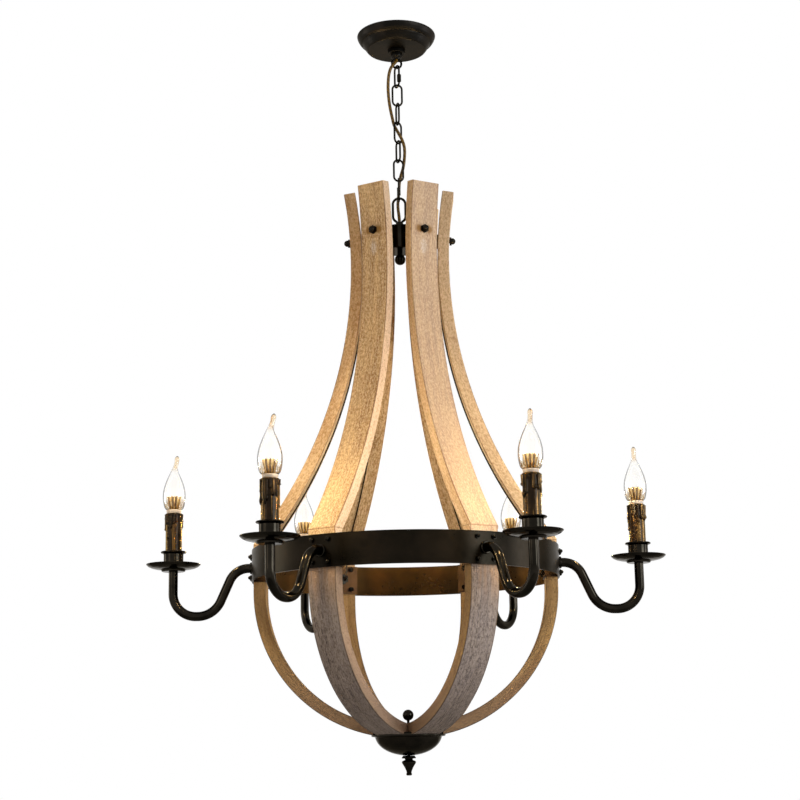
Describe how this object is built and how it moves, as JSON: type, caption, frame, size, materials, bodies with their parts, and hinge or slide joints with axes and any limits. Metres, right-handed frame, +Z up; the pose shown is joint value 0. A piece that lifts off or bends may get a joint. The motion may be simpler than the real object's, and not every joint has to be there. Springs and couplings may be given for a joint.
{
  "type": "basket chandelier",
  "caption": "Open basket chandelier of curved wooden staves on a steel ring, with scroll arms and drip candle lamps, hung by a short chain from a round ceiling canopy.",
  "frame": {"origin": "on the ceiling, at the centre of the canopy and midway between its two ceiling screws", "axes": "+Z up, along the chain; +X to the right of the picture, along the crossbar; the picture looks along +Y"},
  "size_m": [0.791, 0.696, 1.176],
  "materials": {
    "dark_bronze": "satin dark bronze",
    "black_steel": "satin black bronze",
    "ring_steel": "satin dark bronze, lightly brushed",
    "bracket_steel": "brown black",
    "zinc_steel": "zinc plated",
    "cord_cover": "translucent gold brown",
    "wire_cover": "black",
    "upper_wood": "golden tan, fine grain",
    "lower_wood": "weathered grey brown",
    "sleeve_plastic": "dark bronze with wax drips",
    "socket_plastic": "cream",
    "cap_metal": "rolled screw cap",
    "collar_plastic": "warm white",
    "guide_plastic": "clear, glowing",
    "bulb_clear": "clear"
  },
  "bodies": {
    "canopy": {"ceiling_canopy": "dark_bronze", "canopy_crossbar": "zinc_steel", "canopy_nipple": "zinc_steel", "nipple_locknut": "zinc_steel", "collar_ring": "dark_bronze", "collar_loop": "dark_bronze", "supply_cord": "cord_cover"},
    "quick_top": {"quick_link_top": "black_steel", "quick_sleeve_top": "black_steel"},
    "link_1": {"chain_link_1": "black_steel"},
    "link_2": {"chain_link_2": "black_steel"},
    "link_3": {"chain_link_3": "black_steel"},
    "link_4": {"chain_link_4": "black_steel"},
    "link_5": {"chain_link_5": "black_steel"},
    "quick_bottom": {"quick_link_bottom": "black_steel", "quick_sleeve_bottom": "black_steel"},
    "chandelier": {"hub_eye": "black_steel", "hub_cover": "black_steel", "hub_drum": "black_steel", "hub_ball": "black_steel", "stave_bosses": "black_steel", "stave_bolts": "black_steel", "upper_stave_1": "upper_wood", "upper_stave_2": "upper_wood", "upper_stave_3": "upper_wood", "upper_stave_4": "upper_wood", "upper_stave_5": "upper_wood", "upper_stave_6": "upper_wood", "lower_stave_1": "lower_wood", "lower_stave_2": "lower_wood", "lower_stave_3": "lower_wood", "lower_stave_4": "lower_wood", "lower_stave_5": "lower_wood", "lower_stave_6": "lower_wood", "ring_band": "ring_steel", "stave_brackets": "bracket_steel", "ring_screws": "black_steel", "arm_1": "black_steel", "arm_2": "black_steel", "arm_3": "black_steel", "arm_4": "black_steel", "arm_5": "black_steel", "arm_6": "black_steel", "arm_collars": "black_steel", "arm_locknuts": "black_steel", "stave_wires": "wire_cover", "saucers": "black_steel", "candle_cups": "black_steel", "candle_sleeves": "sleeve_plastic", "lamp_sockets": "socket_plastic", "bulb_bases": "cap_metal", "bulb_collars": "collar_plastic", "light_guides": "guide_plastic", "bulb_glass": "bulb_clear", "bottom_bowl": "black_steel", "bottom_plate": "bracket_steel", "plate_screws": "zinc_steel", "centre_rod": "black_steel", "rod_nut": "zinc_steel", "finial": "black_steel"}
  },
  "joints": [
    {"name": "hang_1", "type": "hinge", "parent": "canopy", "child": "quick_top", "pos_m": [0, 0, -0.05525], "axis": [0.9659, 0.2588, 0], "range_deg": [-10, 10]},
    {"name": "hang_2", "type": "hinge", "parent": "quick_top", "child": "link_1", "pos_m": [0, 0, -0.0881], "axis": [-0.4695, 0.8829, 0], "range_deg": [-10, 10]},
    {"name": "hang_3", "type": "hinge", "parent": "link_1", "child": "link_2", "pos_m": [0, 0, -0.1201], "axis": [0.9903, 0.1392, 0], "range_deg": [-10, 10]},
    {"name": "hang_4", "type": "hinge", "parent": "link_2", "child": "link_3", "pos_m": [0, 0, -0.1521], "axis": [-0.309, 0.9511, 0], "range_deg": [-10, 10], "deforming": ["supply_cord"]},
    {"name": "hang_5", "type": "hinge", "parent": "link_3", "child": "link_4", "pos_m": [0, 0, -0.1841], "axis": [0.6972, 0.7169, 0], "range_deg": [-10, 10]},
    {"name": "hang_6", "type": "hinge", "parent": "link_4", "child": "link_5", "pos_m": [0, 0, -0.2161], "axis": [0.4067, -0.9135, 0], "range_deg": [-10, 10]},
    {"name": "hang_7", "type": "hinge", "parent": "link_5", "child": "quick_bottom", "pos_m": [0, 0, -0.2481], "axis": [0.9703, 0.2419, 0], "range_deg": [-10, 10]},
    {"name": "hang_8", "type": "hinge", "parent": "quick_bottom", "child": "chandelier", "pos_m": [0, 0, -0.2811], "axis": [0, 1, 0], "range_deg": [-10, 10]}
  ]
}
